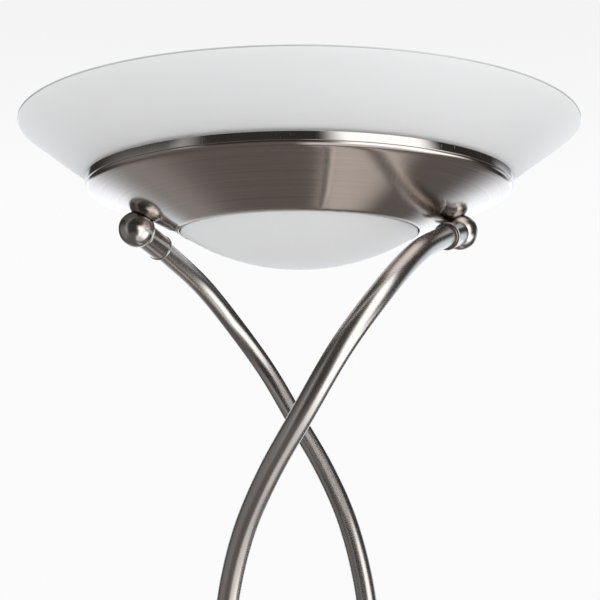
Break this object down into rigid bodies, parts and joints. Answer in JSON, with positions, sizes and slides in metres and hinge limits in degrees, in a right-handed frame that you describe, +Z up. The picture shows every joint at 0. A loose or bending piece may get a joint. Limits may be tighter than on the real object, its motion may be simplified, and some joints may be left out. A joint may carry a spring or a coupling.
{
  "type": "torchiere floor lamp",
  "caption": "Torchiere floor lamp: flared opal glass shade in a brushed metal dish with a lower glass dome, on crossing bent tubes over a round base.",
  "frame": {"origin": "on the floor, under the centre of the shade and the base", "axes": "+Z up; +X towards the ball that carries the right arm, +Y away from the side the picture is taken from, with the cable inlet"},
  "size_m": [0.4, 0.4, 1.8],
  "materials": {
    "opal_glass": "opal white, matt outside",
    "silicone": "translucent silicone",
    "polished_nickel": "polished dark nickel",
    "brushed_nickel": "brushed in circles, dark nickel",
    "satin_nickel": "satin nickel",
    "zinc_steel": "zinc plated",
    "brass_fittings": "machined",
    "white_ceramic": "steatite",
    "quartz": "clear",
    "tungsten": "drawn wire",
    "cast_iron": "as cast",
    "painted_plate": "black paint",
    "black_rubber": "soft",
    "black_plastic": "matt"
  },
  "bodies": {
    "frame": {"shade_seat": "silicone", "rim_ring": "polished_nickel", "dish": "brushed_nickel", "lower_dome": "opal_glass", "dome_gasket": "silicone", "bridge": "zinc_steel", "bridge_nuts": "brass_fittings", "bridge_washers": "zinc_steel", "dish_nipple_left": "brass_fittings", "dish_nipple_right": "brass_fittings", "lamp_bracket": "zinc_steel", "bracket_screws": "brass_fittings", "lampholder_left": "white_ceramic", "lampholder_right": "white_ceramic", "halogen_tube": "quartz", "halogen_caps": "white_ceramic", "filament": "tungsten", "terminal_block": "white_ceramic", "head_leads": "silicone", "earth_screw": "brass_fittings", "ball_left": "satin_nickel", "ball_right": "satin_nickel", "arm_nipple_left": "brass_fittings", "arm_nipple_right": "brass_fittings", "collar_left": "satin_nickel", "collar_right": "satin_nickel", "upper_tube_left": "satin_nickel", "upper_tube_right": "satin_nickel", "coupling_left": "satin_nickel", "coupling_right": "satin_nickel", "lower_tube_left": "satin_nickel", "lower_tube_right": "satin_nickel", "supply_lead": "black_plastic", "base_socket_left": "satin_nickel", "base_socket_right": "satin_nickel", "base_bolts": "zinc_steel", "base_nuts": "zinc_steel", "base_spacers": "zinc_steel", "base_cover": "brushed_nickel", "base_weight": "cast_iron", "base_plate": "painted_plate", "base_feet": "black_rubber", "plate_screws": "zinc_steel", "cable_inlet": "black_plastic", "inlet_lead": "black_plastic", "switch_body": "black_plastic", "switch_nut": "satin_nickel"},
    "shade": {"glass_shade": "opal_glass"},
    "button": {"foot_button": "satin_nickel"},
    "pin_left": {"contact_pin_left": "brass_fittings"},
    "pin_right": {"contact_pin_right": "brass_fittings"}
  },
  "joints": [
    {"name": "shade_lift", "type": "slide", "parent": "frame", "child": "shade", "axis": [0, 0, 1], "range_m": [0, 0.15]},
    {"name": "foot_press", "type": "slide", "parent": "frame", "child": "button", "axis": [0, 0, -1], "range_m": [0, 0.004], "stiffness_N_per_m": 600, "springref_m": -0.003},
    {"name": "contact_left", "type": "slide", "parent": "frame", "child": "pin_left", "axis": [-0.9986, -0.0523, 0], "range_m": [0, 0.003], "stiffness_N_per_m": 1500, "springref_m": -0.002},
    {"name": "contact_right", "type": "slide", "parent": "frame", "child": "pin_right", "axis": [0.9986, 0.0523, 0], "range_m": [0, 0.003], "stiffness_N_per_m": 1500, "springref_m": -0.002}
  ]
}
